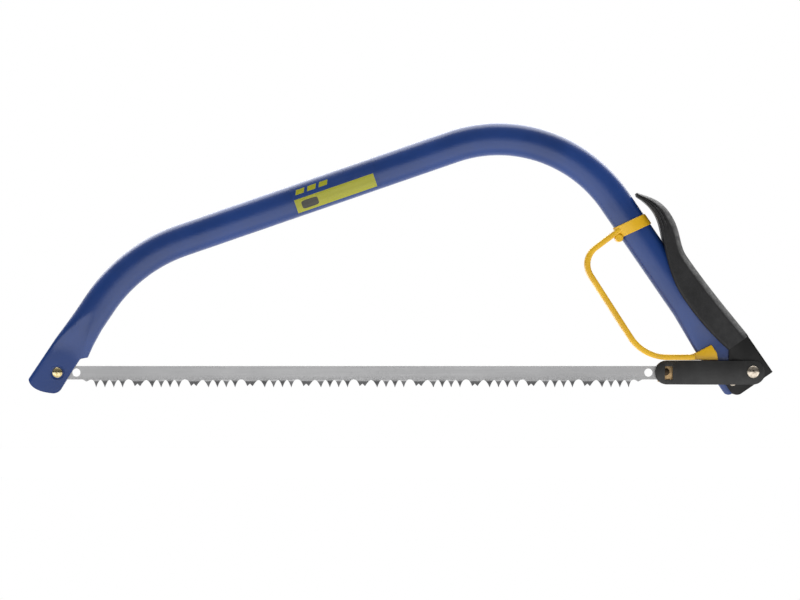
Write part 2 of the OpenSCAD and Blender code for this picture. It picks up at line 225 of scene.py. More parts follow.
class Paint:
    """A Principled material and short ways to add nodes to it."""

    def __init__(self, name, **sockets):
        self.material = bpy.data.materials.new(name)
        self.material.use_nodes = True
        self.tree = self.material.node_tree
        self.shader = self.tree.nodes["Principled BSDF"]
        self.set(**sockets)
        where = self.add("ShaderNodeTexCoord")
        self.place, self.outward = where.outputs["Object"], where.outputs["Normal"]

    def add(self, kind, inputs=(), **settings):
        node = self.tree.nodes.new(kind)
        for key, value in settings.items():
            setattr(node, key, value)
        for key, value in dict(inputs).items():
            self.feed(node.inputs[key], value)
        return node

    def feed(self, socket, value):
        if isinstance(value, bpy.types.NodeSocket):
            self.tree.links.new(value, socket)
        elif hasattr(value, "__len__") and len(value) == 3 and socket.type == "RGBA":
            socket.default_value = (*value, 1)
        else:
            socket.default_value = value

    def set(self, **sockets):
        for key, value in sockets.items():
            self.feed(self.shader.inputs[key.replace("_", " ")], value)

    def stretched(self, x, y, z):
        return self.add("ShaderNodeMapping", {"Vector": self.place, "Scale": (x, y, z)}).outputs[0]

    def noise(self, scale, detail=4, roughness=0.55, vector=None):
        return self.add("ShaderNodeTexNoise", {
            "Vector": vector or self.place, "Scale": scale, "Detail": detail,
            "Roughness": roughness}).outputs["Fac"]

    def band(self, value, low, high, out_low=0.0, out_high=1.0, smooth=True):
        node = self.add("ShaderNodeMapRange", {
            "Value": value, "From Min": low, "From Max": high, "To Min": out_low, "To Max": out_high},
            interpolation_type="SMOOTHSTEP" if smooth else "LINEAR")
        return node.outputs[0]

    def maths(self, how, a, b=0.0):
        node = self.add("ShaderNodeMath", operation=how)
        self.feed(node.inputs[0], a)
        self.feed(node.inputs[1], b)
        return node.outputs[0]

    def mix(self, factor, a, b):
        node = self.add("ShaderNodeMix", data_type="RGBA")
        self.feed(node.inputs["Factor"], factor)
        self.feed(node.inputs[6], a)
        self.feed(node.inputs[7], b)
        return node.outputs[2]

    def edges(self, low=0.52, high=0.6):
        """How far a point is on an outer edge, broken up by noise."""
        point = self.add("ShaderNodeNewGeometry").outputs["Pointiness"]
        broken = self.band(self.noise(260, 3), 0.35, 0.6)
        return self.maths("MULTIPLY", self.band(point, low, high), broken)

    def bump(self, height, strength, distance):
        node = self.add("ShaderNodeBump", {"Height": height, "Strength": strength, "Distance": distance})
        if self.shader.inputs["Normal"].is_linked:
            self.feed(node.inputs["Normal"], self.shader.inputs["Normal"].links[0].from_socket)
        self.set(Normal=node.outputs[0])


BLUE = (0.007, 0.034, 0.158)


def blue_coat(paint):
    """Colour of the tube's powder coat: a little darker and lighter in soft clouds."""
    return paint.mix(paint.band(paint.noise(14, 3), 0.3, 0.7),
                     tuple(0.86 * c for c in BLUE), tuple(1.16 * c for c in BLUE))


def make_blue_paint():
    p = Paint("blue_powder_coat", IOR=1.5)
    p.set(Base_Color=blue_coat(p), Roughness=p.band(p.noise(55, 5), 0.3, 0.7, 0.29, 0.35))
    p.bump(p.noise(420, 2), 0.10, 0.0004)
    p.bump(p.noise(1100, 2), 0.06, 0.0001)
    return p.material


def make_label():
    """Printed film on blue: a plain yellow-green panel with a dark block, and a row of three slanted dashes.

    s runs along the film and u across it, both in millimetres.
    """
    p = Paint("label_print", IOR=1.5)
    split = p.add("ShaderNodeSeparateXYZ", {"Vector": p.add("ShaderNodeUVMap", uv_map="along").outputs[0]})
    s, u = split.outputs[0], split.outputs[1]

    def inside(value, low, high, soft=0.12):
        rise = p.band(value, low - soft, low + soft)
        return p.maths("MULTIPLY", rise, p.band(value, high - soft, high + soft, 1.0, 0.0))

    panel = p.maths("MULTIPLY", inside(s, 0.8, 73.2), inside(u, -0.6, 11.6))
    block_s, block_u = (13.5, 7.5), (5.6, 3.6)  # middle and half size of the block
    squareness, lean, half_pitch, dash_row = 5.0, 0.45, 5.3, (0.0, 31.8)

    def reach(value, middle_at, half):
        share = p.maths("DIVIDE", p.maths("SUBTRACT", value, middle_at), half)
        return p.maths("POWER", p.maths("ABSOLUTE", share), squareness)

    block = p.band(p.maths("ADD", reach(s, *block_s), reach(u, *block_u)), 0.9, 1.1, 1.0, 0.0)
    slant = p.maths("ADD", s, p.maths("MULTIPLY", u, lean))
    stripes = p.band(p.maths("PINGPONG", slant, half_pitch), 1.3, 1.6)
    row = p.maths("MULTIPLY", inside(slant, *dash_row), inside(u, -8.6, -4.4))
    bars = p.maths("MULTIPLY", row, stripes)
    lime = p.mix(p.noise(60, 3), (0.26, 0.27, 0.008), (0.33, 0.315, 0.016))
    dark = p.mix(p.noise(60, 3), (0.016, 0.015, 0.010), (0.030, 0.028, 0.016))
    colour = p.mix(p.maths("MAXIMUM", panel, bars), blue_coat(p), lime)
    p.set(Base_Color=p.mix(block, colour, dark), Roughness=p.band(p.noise(80, 4), 0.3, 0.7, 0.32, 0.42))
    p.bump(p.noise(300, 2), 0.08, 0.0003)
    return p.material


def make_blade_steel():
    """Ground strip with fine lines along it, and teeth darkened where they are hardened."""
    p = Paint("ground_blade_steel", Metallic=1.0, Anisotropic=0.3)
    lines = p.noise(700, 3, 0.6, p.stretched(0.03, 1.0, 1.0))
    cloud = p.noise(22, 4, 0.6, p.stretched(0.5, 1.0, 1.0))
    grain = p.noise(800, 3, 0.7)
    height = p.add("ShaderNodeSeparateXYZ", {"Vector": p.place}).outputs[2]
    ragged = p.maths("ADD", height, p.maths("MULTIPLY", p.maths("SUBTRACT", grain, 0.5), 0.0016))
    hard = p.band(ragged, (BLADE_LINE - 8.0) * MM, (BLADE_LINE - 7.0) * MM, 1.0, 0.0)
    mottled = p.band(height, (BLADE_LINE - 6.0) * MM, (BLADE_LINE - 1.5) * MM, 0.45, 0.0)
    body = p.mix(lines, (0.38, 0.38, 0.385), (0.49, 0.49, 0.495))
    body = p.mix(p.band(cloud, 0.35, 0.7, 0.0, 0.35), body, (0.33, 0.33, 0.335))
    body = p.mix(p.maths("MULTIPLY", mottled, p.band(grain, 0.4, 0.6)), body, (0.24, 0.24, 0.24))
    tips = p.mix(grain, (0.085, 0.085, 0.088), (0.17, 0.17, 0.172))
    p.set(Base_Color=p.mix(hard, body, tips), Roughness=p.band(cloud, 0.3, 0.7, 0.40, 0.52))
    p.bump(lines, 0.12, 0.00008)
    p.bump(grain, 0.10, 0.00012)
    return p.material


def make_rivet_metal(name, bright, dull, smooth, rough):
    p = Paint(name, Metallic=1.0)
    tarnish = p.band(p.noise(420, 4, 0.6), 0.35, 0.65)
    p.set(Base_Color=p.mix(tarnish, bright, dull), Roughness=p.band(p.noise(700, 3), 0.3, 0.7, smooth, rough))
    p.bump(p.noise(520, 3), 0.25, 0.0003)
    return p.material


def make_yellow_plastic():
    p = Paint("yellow_moulding", IOR=1.48)
    cloud = p.band(p.noise(40, 3), 0.3, 0.7)
    p.set(Base_Color=p.mix(cloud, (0.62, 0.345, 0.003), (0.70, 0.405, 0.005)),
          Roughness=p.band(p.noise(160, 5), 0.3, 0.7, 0.34, 0.48))
    p.bump(p.noise(700, 2), 0.08, 0.00015)
    return p.material


def make_black_paint(name, tone, gloss):
    """Black enamel worn to bare metal in places along its outer edges."""
    p = Paint(name, IOR=1.45, Specular_IOR_Level=gloss)
    cloud = p.band(p.noise(45, 4), 0.3, 0.7)
    worn = p.maths("MULTIPLY", p.edges(0.54, 0.62), 0.55)
    flat = p.mix(cloud, (0.8 * tone,) * 3, (1.2 * tone,) * 3)
    p.set(Base_Color=p.mix(worn, flat, (0.12, 0.115, 0.11)), Metallic=p.maths("MULTIPLY", worn, 0.7),
          Roughness=p.band(p.noise(120, 5), 0.3, 0.7, 0.36, 0.52))
    p.bump(p.noise(650, 3), 0.14, 0.0002)
    p.bump(p.noise(120, 2), 0.05, 0.0005)
    return p.material


def make_zinc():
    p = Paint("yellow_zinc_plate", Metallic=0.85)
    blotch = p.band(p.noise(330, 4, 0.6), 0.35, 0.65)
    p.set(Base_Color=p.mix(blotch, (0.44, 0.30, 0.15), (0.30, 0.20, 0.10)),
          Roughness=p.band(p.noise(500, 3), 0.3, 0.7, 0.38, 0.55))
    p.bump(p.noise(900, 3), 0.2, 0.0002)
    return p.material


def make_dark_steel():
    # Near-black steel for the hook pin seen through the link's window.
    p = Paint("near_black_steel", Metallic=0.9)
    p.set(Base_Color=p.mix(p.noise(500, 3), (0.020, 0.013, 0.007), (0.055, 0.038, 0.022)),
          Roughness=p.band(p.noise(700, 3), 0.3, 0.7, 0.3, 0.5))
    p.bump(p.noise(800, 3), 0.2, 0.0002)
    return p.material


def make_grip_plastic():
    """Matt black moulding with a spark-eroded grain, and a painted highlight: paler where it faces up and
    towards its back, for light catching the back chamfer.
    """
    p = Paint("grained_black_moulding", IOR=1.45, Specular_IOR_Level=0.35)
    grain = p.add("ShaderNodeTexVoronoi", {"Vector": p.place, "Scale": 1500.0}).outputs["Distance"]
    cloud = p.band(p.noise(60, 4), 0.3, 0.7)
    fine = p.noise(1300, 3, 0.6)
    flat = p.mix(cloud, (0.008, 0.008, 0.0085), (0.014, 0.014, 0.0145))
    flat = p.mix(p.band(fine, 0.5, 0.75, 0.0, 0.5), flat, (0.028, 0.028, 0.029))
    facing = p.add("ShaderNodeSeparateXYZ", {"Vector": p.outward}).outputs
    up_back = p.maths("ADD", p.maths("MULTIPLY", facing[0], cos(REAR_LEAN)),
                      p.maths("MULTIPLY", facing[2], sin(REAR_LEAN)))
    patchy = p.maths("ADD", p.band(fine, 0.4, 0.6, 0.25, 0.6),
                     p.band(p.noise(210, 4, 0.6), 0.4, 0.62, 0.0, 0.4))
    # Painted highlight: faces turned up and towards the grip's back get a paler colour, broken up by noise,
    # standing in for light on the back chamfer.
    painted_highlight = p.maths("MULTIPLY", p.band(up_back, 0.3, 0.85), patchy)
    p.set(Base_Color=p.mix(painted_highlight, flat, (0.14, 0.14, 0.14)),
          Roughness=p.band(p.noise(200, 5), 0.3, 0.7, 0.5, 0.66))
    p.bump(grain, 0.25, 0.0003)
    p.bump(fine, 0.25, 0.00025)
    return p.material


BLUE_PAINT = make_blue_paint()
LABEL_PRINT = make_label()
BLADE_STEEL = make_blade_steel()
RIVET_STEEL = make_rivet_metal("plated_rivet", (0.56, 0.50, 0.42), (0.36, 0.31, 0.25), 0.18, 0.34)
BRASS_RIVET = make_rivet_metal("yellow_passivated_rivet", (0.66, 0.58, 0.36), (0.42, 0.33, 0.15), 0.16, 0.30)
YELLOW_PLASTIC = make_yellow_plastic()
BLACK_PAINT = make_black_paint("black_enamel", 0.0040, 0.28)
LINK_PAINT = make_black_paint("satin_black_enamel", 0.0175, 0.40)
ZINC = make_zinc()
DARK_STEEL = make_dark_steel()
GRIP_PLASTIC = make_grip_plastic()


# ---- Tube frame ----


def unit(a, b):
    length = hypot(b[0] - a[0], b[1] - a[1])
    return ((b[0] - a[0]) / length, (b[1] - a[1]) / length)


FRONT_CORNER = front(-FRONT_INSET, FRONT_LEG)
REAR_CORNER = rear(REAR_INSET, REAR_LEG)
ALONG = unit(FRONT_CORNER, REAR_CORNER)
INWARD = (ALONG[1], -ALONG[0])
TOP_RISE = atan2(ALONG[1], ALONG[0])
FRONT_TURN = pi / 2 - FRONT_LEAN - TOP_RISE
REAR_TURN = pi / 2 - REAR_LEAN + TOP_RISE
FRONT_TANGENT = FRONT_BEND * tan(FRONT_TURN / 2)
REAR_TANGENT = REAR_BEND * tan(REAR_TURN / 2)
TOP_START = (FRONT_CORNER[0] + FRONT_TANGENT * ALONG[0], FRONT_CORNER[1] + FRONT_TANGENT * ALONG[1])


def oval(inner, outer, near, far, ends=12, side=12):
    """A flat oval as (n, y), with n into the bow.

    near and far give the half thickness on each side at a share of the width.
    """
    points = []
    r = near(0.0)
    span = r - outer - (inner - r)
    for i in range(ends + 1):
        a = pi / 2 - pi * i / ends
        points.append((inner - r + r * cos(a), r * sin(a)))
    for i in range(1, side):
        share = i / side
        points.append((inner - r + span * share, -near(share)))
    for i in range(ends + 1):
        a = -pi / 2 - pi * i / ends
        points.append((r - outer + r * cos(a), r * sin(a)))
    for i in range(1, side):
        share = 1 - i / side
        points.append((inner - r + span * share, far(share)))
    return points


def ring_at(centre, inward, section):
    return [(centre[0] + n * inward[0], y, centre[1] + n * inward[1]) for n, y in section]


def crowned(half, share):
    """The half thickness at a share of the tube's width: its sides are a little fuller in the middle."""
    return half - CROWN * (2 * share - 1) ** 2


def tube_section(extra=0.0):
    half = lambda share: crowned(TUBE_T / 2 + extra, share)
    return oval(TUBE_W / 2 + extra, TUBE_W / 2 + extra, half, half)


def nose_section(v):
    """The front leg's section: pressed flat towards the pin, the press reaching higher up its middle."""
    def half(share):
        reach = 7.0 * (1 - (2 * share - 1) ** 2)
        return NOSE_HALF + (crowned(TUBE_T / 2, share) - NOSE_HALF) * ramp(v - reach, 12, 56)
    inner = between([(18, 19.0), (25.5, 17.3), (37, 15.4), (52, 14.1)], v)
    outer = between([(24, 15.3), (52, 14.1)], v)
    return oval(inner, outer, half, half)


def heel_section(v):
    """The rear leg's section: pressed flat towards the lever's rivet."""
    half = lambda share: HEEL_HALF + (crowned(TUBE_T / 2, share) - HEEL_HALF) * ramp(v, 36, 84)
    inner = between([(41, 16.5), (76, TUBE_W / 2)], v)
    outer = between([(41, 16.4), (76, TUBE_W / 2)], v)
    return oval(inner, outer, half, half)


def steps(a, b, n):
    return [a + (b - a) * i / n for i in range(n + 1)]


def tube_rings():
    """Rings of the whole tube from below the nose to below the heel."""
    rings = []
    for v in steps(-34, 8, 6) + steps(11, FRONT_LEG - FRONT_TANGENT, 26):
        rings.append(ring_at(front(-FRONT_INSET, v), INTO_FRONT, nose_section(v)))
    centre = (TOP_START[0] + FRONT_BEND * INWARD[0], TOP_START[1] + FRONT_BEND * INWARD[1])
    for a in steps(pi - FRONT_LEAN, pi / 2 + TOP_RISE, 22)[1:-1]:
        out = (cos(a), sin(a))
        at = (centre[0] + FRONT_BEND * out[0], centre[1] + FRONT_BEND * out[1])
        rings.append(ring_at(at, (-out[0], -out[1]), tube_section()))
    top_end = (REAR_CORNER[0] - REAR_TANGENT * ALONG[0], REAR_CORNER[1] - REAR_TANGENT * ALONG[1])
    for t in steps(0, 1, 24):
        at = tuple(a + (b - a) * t for a, b in zip(TOP_START, top_end))
        rings.append(ring_at(at, INWARD, tube_section()))
    centre = (top_end[0] + REAR_BEND * INWARD[0], top_end[1] + REAR_BEND * INWARD[1])
    for a in steps(pi / 2 + TOP_RISE, REAR_LEAN, 44)[1:-1]:
        out = (cos(a), sin(a))
        at = (centre[0] + REAR_BEND * out[0], centre[1] + REAR_BEND * out[1])
        rings.append(ring_at(at, (-out[0], -out[1]), tube_section()))
    for v in steps(REAR_LEG - REAR_TANGENT, 36, 38) + steps(32, -30, 6):
        rings.append(ring_at(rear(REAR_INSET, v), INTO_REAR, heel_section(v)))
    return rings


def make_tube():
    tube = loft("tube_frame", tube_rings())
    nose = [(60, 25.5), (14.6, 25.5)] + arc((12.9, 19.4), 3.2, 125, 180) + [(9.7, 12)]
    nose += arc((2.5, -10.5), 8, 360, 295, 10)[:-1]
    nose += bezier((5.9, -17.7), (-5.0, -23.4), (-13.4, -24.0), (-17.9, -18.6), 14)
    nose += [(-17.9, -18.6), (-60, -18.6), (-60, -60), (60, -60)]
    slot = [(-15.6, -50), (60, -50), (60, 24), (-15.6, 24)]
    cut(tube, prism("nose_end", [front(*p) for p in nose], -20, 20),
        prism("nose_slot", [front(*p) for p in slot], -NOSE_SLOT, NOSE_SLOT))
    reach = 15.5  # the heel's round end about the lever's rivet
    heel = [(-60, -3.3)] + arc((-6.6, -3.3), 5, 180, 270, 6)
    heel += arc((0, 0), reach, degrees(asin(-8.3 / reach)), degrees(asin(3 / reach)), 10)
    heel += [(60, 3), (60, -60), (-60, -60)]
    gap = [(-9.4, -50), (60, -50), (60, 2.9), (19.2, 2.9), (19.2, 38), (-9.4, 38)]
    cut(tube, prism("heel_end", [rear(*p) for p in heel], -20, 20),
        prism("heel_gap", [rear(*p) for p in gap], -HEEL_SLOT, HEEL_SLOT))
    dimple = [(4.4, -3.2), (7.0, -3.2), (6.4, -2.55), (5.6, -2.05), (4.9, -1.95), (4.4, -2.1)]
    cut(tube, lathe("dimple", FRONT_PIN, dimple, 40))
    return piece(tube, "frame", "blue_paint", BLUE_PAINT, "frame_tube", sharp=24)


def make_label_film():
    """A thin film over the near side of the top run."""
    start, length, half, thick = 103.0, 76.0, 12.5, 0.25
    round_r = TUBE_T / 2 - CROWN
    flat = TUBE_W / 2 - round_r
    cols, rows = 24, 26
    grid = {}
    verts, coords = [], []
    for layer in (0, 1):
        for i in range(cols + 1):
            s = length * i / cols
            for j in range(rows + 1):
                u = -half + 2 * half * j / rows
                beyond = max(abs(u) - flat, 0.0) * (1 if u > 0 else -1)
                a = beyond / round_r
                lift = thick if layer == 0 else -0.3
                crown = CROWN * max(0.0, 1 - (u / flat) ** 2)
                n, y = u - beyond + (round_r + lift) * sin(a), -(round_r + lift) * cos(a) - crown
                grid[layer, i, j] = len(verts)
                verts.append((TOP_START[0] + (start + s) * ALONG[0] + n * INWARD[0], y,
                              TOP_START[1] + (start + s) * ALONG[1] + n * INWARD[1]))
                coords.append((s, u))
    faces = []
    for layer in (0, 1):
        faces += [tuple(grid[layer, i + di, j + dj] for di, dj in ((0, 0), (1, 0), (1, 1), (0, 1)))
                  for i in range(cols) for j in range(rows)]
    rim = [(i, 0) for i in range(cols)] + [(cols, j) for j in range(rows)]
    rim += [(i, rows) for i in range(cols, 0, -1)] + [(0, j) for j in range(rows, 0, -1)]
    for a, b in zip(rim, rim[1:] + rim[:1]):
        faces.append((grid[(0, *a)], grid[(0, *b)], grid[(1, *b)], grid[(1, *a)]))
    film = mesh_object("label_film", verts, faces)
    uv = film.data.uv_layers.new(name="along")
    for loop in film.data.loops:
        uv.data[loop.index].uv = coords[loop.vertex_index]
    return piece(film, "frame", "label_film", LABEL_PRINT, "frame_label")


# ---- Blade ----

BLADE_HALF = 0.4
TOOTH_TIP, RAKER_TIP = 13.0, 11.8
GROUPS, GROUP_PITCH, TOOTH_PITCH = 10, 48.9, 7.7
HARD_FROM = 7.4  # the depth at which the ground flanks begin
SPARE_HOLE, HOLE_R = 16.3, 3.55


def gullet(a, b, depth, power, n=12):
    """Points of an arched gullet between two tips; its middle point is the roof."""
    points = []
    for i in range(1, n):
        t = i / n
        w = abs(2 * t - 1) ** power
        x, z = a[0] + (b[0] - a[0]) * t, a[1] + (b[1] - a[1]) * t
        points.append((x, -depth + (z + depth) * w))
    return points


def tooth_line():
    """The blade's toothed edge as runs from roof to roof, each (points, is a raker)."""
    first = (BLADE_SPAN - (GROUPS - 1) * GROUP_PITCH - 3 * TOOTH_PITCH) / 2
    nub = ((first - 8.3, -7.8), (BLADE_SPAN - first + 8.3, -7.8))
    tips = []
    for g in range(GROUPS):
        tips += [("tooth", (first + g * GROUP_PITCH + i * TOOTH_PITCH, -TOOTH_TIP)) for i in range(4)]
        if g < GROUPS - 1:
            tips.append(("raker", (first + (g + 0.5) * GROUP_PITCH + 1.5 * TOOTH_PITCH, -RAKER_TIP)))
    half_raker, notch = 2.35, 2.2
    edge = [nub[0]]
    roofs = []
    previous, power, depth = nub[0], 2.4, 6.2
    for kind, tip in tips:
        wide = kind == "raker" or tip[0] - previous[0] > 1.5 * TOOTH_PITCH
        left = (tip[0] - half_raker, tip[1]) if kind == "raker" else tip
        if previous != nub[0]:
            power, depth = (2.6, 6.0) if wide else (1.7, 6.4)
        run = gullet(previous, left, depth, power)
        roofs.append(len(edge) + len(run) // 2)
        edge += run
        if kind == "raker":
            edge += [left, (tip[0], tip[1] + notch), (tip[0] + half_raker, tip[1])]
            previous = edge[-1]
        else:
            edge.append(tip)
            previous = tip
    run = gullet(previous, nub[1], 6.2, 2.4)
    roofs.append(len(edge) + len(run) // 2)
    edge += run + [nub[1]]
    return edge, roofs, tips


def make_blade():
    """The blade: two faces, and between them an edge line that the teeth's ground flanks lead to."""
    edge, roofs, tips = tooth_line()
    inset = [[0.0, 0.0] for _ in edge]
    line_y = [0.0] * len(edge)
    lift = [0.0] * len(edge)
    bend = [0.0] * len(edge)
    for k, (a, b) in enumerate(zip(roofs, roofs[1:])):
        kind, tip = tips[k]
        if kind == "raker":
            continue
        side = -1 if k % 2 else 1
        for i in range(a + 1, b):
            depth = -edge[i][1]
            sharp = ramp(depth, HARD_FROM, 10.0)
            off = edge[i][0] - tip[0]
            slim = min(sharp, 0.75 * abs(off))
            inset[i][0 if side < 0 else 1] = -slim if off > 0 else slim
            line_y[i] = -side * 0.32 * sharp
            if abs(off) < 1e-6:
                lift[i] = 1.5
            bend[i] = side * 0.42 * ramp(depth, 6.6, TOOTH_TIP)
    end, back, belly = 7.8, 5.7, 6.0
    low_cut, high_cut = 0.6, 0.8  # the corners' chamfers
    start = edge[0][0] - 3.5
    ends = [(start, -belly), (-end + low_cut, -belly), (-end, -belly + low_cut),
            (-end, back - high_cut), (-end + high_cut, back),
            (BLADE_SPAN + end - high_cut, back), (BLADE_SPAN + end, back - high_cut),
            (BLADE_SPAN + end, -belly + low_cut), (BLADE_SPAN + end - low_cut, -belly),
            (BLADE_SPAN - start, -belly)]
    count = len(edge)
    total = count + len(ends)
    x0, z0 = FRONT_PIN
    rows = []
    for row, y in ((0, -BLADE_HALF), (1, None), (2, BLADE_HALF)):
        points = []
        for i, (x, z) in enumerate(edge):
            dx = 0.0 if row == 1 else inset[i][row // 2]
            raised = row != 1 and (line_y[i] > 0) == (row == 0)
            dz = lift[i] if raised else 0.0
            level = line_y[i] if row == 1 else y
            points.append((x0 + x + dx, level + bend[i], z0 + z + dz))
        points += [(x0 + x, 0.0 if row == 1 else y, z0 + z) for x, z in reversed(ends)]
        rows.append(points)
    verts = rows[0] + rows[1] + rows[2]
    faces = []
    for i in range(total):
        j = (i + 1) % total
        faces += [(i, j, total + j, total + i), (total + i, total + j, 2 * total + j, 2 * total + i)]
    body_loop = list(range(0, roofs[0] + 1)) + roofs[1:] + list(range(roofs[-1] + 1, total))
    turn = 32
    for row in (0, 2):
        y = rows[row][total - 1][1]
        loops = [[verts[row * total + i] for i in body_loop]]
        ids = [row * total + i for i in body_loop]
        for hole in (0, SPARE_HOLE, BLADE_SPAN - SPARE_HOLE, BLADE_SPAN):
            ring = [(x0 + hole + HOLE_R * cos(2 * pi * i / turn), y, z0 + HOLE_R * sin(2 * pi * i / turn))
                    for i in range(turn)]
            ids += range(len(verts), len(verts) + turn)
            verts += ring
            loops.append(ring)
        flat = [[Vector((x, z, 0)) for x, _, z in loop] for loop in loops]
        faces += [tuple(ids[i] for i in tri) for tri in tessellate_polygon(flat)]
        faces += [tuple(range(row * total + a, row * total + b + 1)) for a, b in zip(roofs, roofs[1:])]
    rings = len(verts) - 8 * turn
    for h in range(4):
        a, b = rings + h * turn, rings + (4 + h) * turn
        faces += [(a + i, a + (i + 1) % turn, b + (i + 1) % turn, b + i) for i in range(turn)]
    blade = mesh_object("toothed_blade", verts, faces)
    return piece(blade, "blade", "blade_steel", BLADE_STEEL, "saw_blade", sharp=18)


# ---- Rivets and pins ----


def dome(r, h, y, n=8):
    """Profile of a rivet head from its crown to its rim; it stands on the plane y and points to -Y."""
    rim = 0.3 * h
    ball = (r * r + (h - rim) ** 2) / (2 * (h - rim))
    points = [(0, y - h)]
    for i in range(1, n + 1):
        x = r * 0.97 * i / n
        points.append((x, y - (h - ball + sqrt(ball * ball - x * x))))
    return points + [(r, y - rim * 0.75), (r, y)]


def through_rivet(name, at, shank, half, head_r, head_h):
    near = dome(head_r, head_h, -half)
    far = [(r, -y) for r, y in reversed(near)]
    return lathe(name, at, near + [(shank, -half), (shank, half)] + far)


def make_rivets():
    hole = 3.5
    profile = dome(4.45, 2.1, -NOSE_HALF) + [(hole, -NOSE_HALF), (hole, 0.4), (hole - 0.2, 0.6), (0, 0.6)]
    piece(lathe("nose_rivet", FRONT_PIN, profile), "frame", "rivet_steel", BRASS_RIVET, "front_blade_rivet")
    link = through_rivet("link_rivet_domed", LINK_PIVOT, 3.0, 8.0, 5.35, 2.4)
    piece(link, "link", "rivet_steel", RIVET_STEEL, "link_rivet")
    lever = through_rivet("lever_rivet_domed", LEVER_PIVOT, 3.0, 6.1, 3.7, 2.1)
    piece(lever, "lever", "rivet_steel", RIVET_STEEL, "lever_pivot_rivet")
    half, outer, bore, ease = HEEL_HALF, 5.0, 3.05, 0.3
    bush = [(bore, -half + ease), (bore + ease, -half), (outer - ease, -half), (outer, -half + ease),
            (outer, half - ease), (outer - ease, half), (bore + ease, half), (bore, half - ease)]
    piece(lathe("heel_bush", LEVER_PIVOT, bush), "frame", "rivet_steel", RIVET_STEEL, "pivot_bush")
    pin = [(0, -2.55), (2.9, -2.55), (3.3, -2.3), (3.3, -1.8), (1.8, -1.8), (1.8, 0.4), (1.5, 0.7), (0, 0.7)]
    piece(lathe("hook_pin_turned", HOOK, pin), "link", "dark_steel", DARK_STEEL, "hook_pin")


# ---- Link ----

LINK_H, LINK_T = 20.8, 1.6
LINK_IN, LINK_BELLY, LINK_HEEL = 2.6, 8.6, 6.4


def link_y(x):
    """Inner face of a link plate at x, its folds rounded by averaging."""
    px = LINK_PIVOT[0]
    folds = [(px - 90, LINK_IN), (px - 68, LINK_IN), (px - 49.5, LINK_BELLY), (px - 11.7, LINK_BELLY),
             (px - 7.7, LINK_HEEL), (px + 14, LINK_HEEL)]
    spread = 1.2
    return sum(between(folds, x + spread * (i - 3) / 3) for i in range(7)) / 7


def make_link_plate(name, side, node):
    """A pressed strap with round ends; side is -1 for the near one."""
    r = LINK_H / 2
    nose_x, heel_x, mid_z = HOOK[0] + 1.0, LINK_PIVOT[0], HOOK[1] - 0.6
    stations = [(nose_x - r * sin(a), r * cos(a)) for a in steps(radians(88), 0, 16)]
    stations += [(x, r) for x in steps(nose_x, heel_x, 90)[1:]]
    stations += [(heel_x + r * sin(a), r * cos(a)) for a in steps(0, radians(88), 16)[1:]]
    rings = []
    ease = 0.35
    for x, h in stations:
        inner, outer = link_y(x), link_y(x) + LINK_T
        e = min(ease, 0.4 * h)
        low, high = mid_z - h, mid_z + h
        ring = [(inner, low + e), (inner + e, low), (outer - e, low), (outer - 0.3 * e, low + 0.3 * e),
                (outer, low + e), (outer, high - e), (outer - 0.3 * e, high - 0.3 * e), (outer - e, high),
                (inner + e, high), (inner, high - e)]
        rings.append([(x, side * y, z) for y, z in ring])
    plate = loft(name, rings)
    if side < 0:
        x0, z0 = HOOK[0] - 0.8, BLADE_LINE - 6.2
        window = [(x0, z0), (x0 + 6.8, z0), (x0 + 6.8, z0 + 11.6), (x0, z0 + 11.6)]
        cut(plate, prism("window", window, -7, -1))
    return piece(plate, "link", "black_paint", LINK_PAINT, node)


def make_hook_plate():
    x0, z0 = HOOK[0] - 7, BLADE_LINE - 8
    pad = prism("hook_pad", [(x0, z0), (x0 + 14.4, z0), (x0 + 14.4, z0 + 15.6), (x0, z0 + 15.6)], -2.2, -1.0)
    eased(pad, 0.3)
    return piece(pad, "link", "zinc_plate", ZINC, "hook_plate")


# ---- Lever ----

CHEEK_IN, CHEEK_OUT, SHEET = 4.3, 6.1, 1.8
LEVER_BACK = [(33.5, -12.7), (33.5, 27), (26.8, 62), (26.8, 140)]


def make_lever():
    """Folded sheet: two cheeks joined by a web down the back, with a round fold."""
    outline = LEVER_BACK + [(21, 140), (21, 80), (22.6, 40), (22, 36), (12.6, 24.6), (8, 18), (-6.5, 2.5)]
    outline += arc((0.4, -5.8), 6.9, 180, 270, 8)
    solid = prism("lever_channel_folded", [rear(*p) for p in outline], -CHEEK_OUT, CHEEK_OUT)
    bm = bmesh.new()
    bm.from_mesh(solid.data)
    corners = [Vector((x * MM, z * MM)) for x, z in (rear(*p) for p in LEVER_BACK)]

    def on_back(vert):
        return any((Vector((vert.co.x, vert.co.z)) - c).length < 1e-6 for c in corners)

    folds = [e for e in bm.edges if all(on_back(v) for v in e.verts)
             and abs(e.verts[0].co.y - e.verts[1].co.y) < 1e-6]
    bmesh.ops.bevel(bm, geom=folds, offset=1.7 * MM, segments=4, profile=0.5, affect="EDGES")
    bm.to_mesh(solid.data)
    bm.free()
    inside = [(-30, -30), (LEVER_BACK[0][0] - SHEET, -30)]
    inside += [(u - SHEET, v) for u, v in LEVER_BACK] + [(25, 160), (-30, 160)]
    cut(solid, prism("channel_inside", [rear(*p) for p in inside], -CHEEK_IN, CHEEK_IN))
    eased(solid, 0.28, limit=50)
    return piece(solid, "lever", "black_paint", BLACK_PAINT, "lever_channel")


GRIP_BACK = (bezier((33.9, 25), (32.5, 45), (28.9, 72), (28.7, 112))
             + bezier((28.7, 112), (28.6, 125), (38, 133), (38.1, 152))
             + bezier((38.1, 152), (38.1, 166), (31.5, 173), (24.6, 182.2)) + [(24.6, 182.2)])
GRIP_FRONT = list(reversed(bezier((22.2, 179.5), (25.5, 172), (26.9, 166), (26.7, 159.5))
                           + bezier((26.7, 159.5), (26.4, 152), (23.5, 145), (20, 136.8))
                           + bezier((20, 136.8), (14, 122), (5.3, 106), (5.3, 82))
                           + bezier((5.3, 82), (5.3, 60), (8.5, 42), (12.4, 25)) + [(12.4, 25)]))


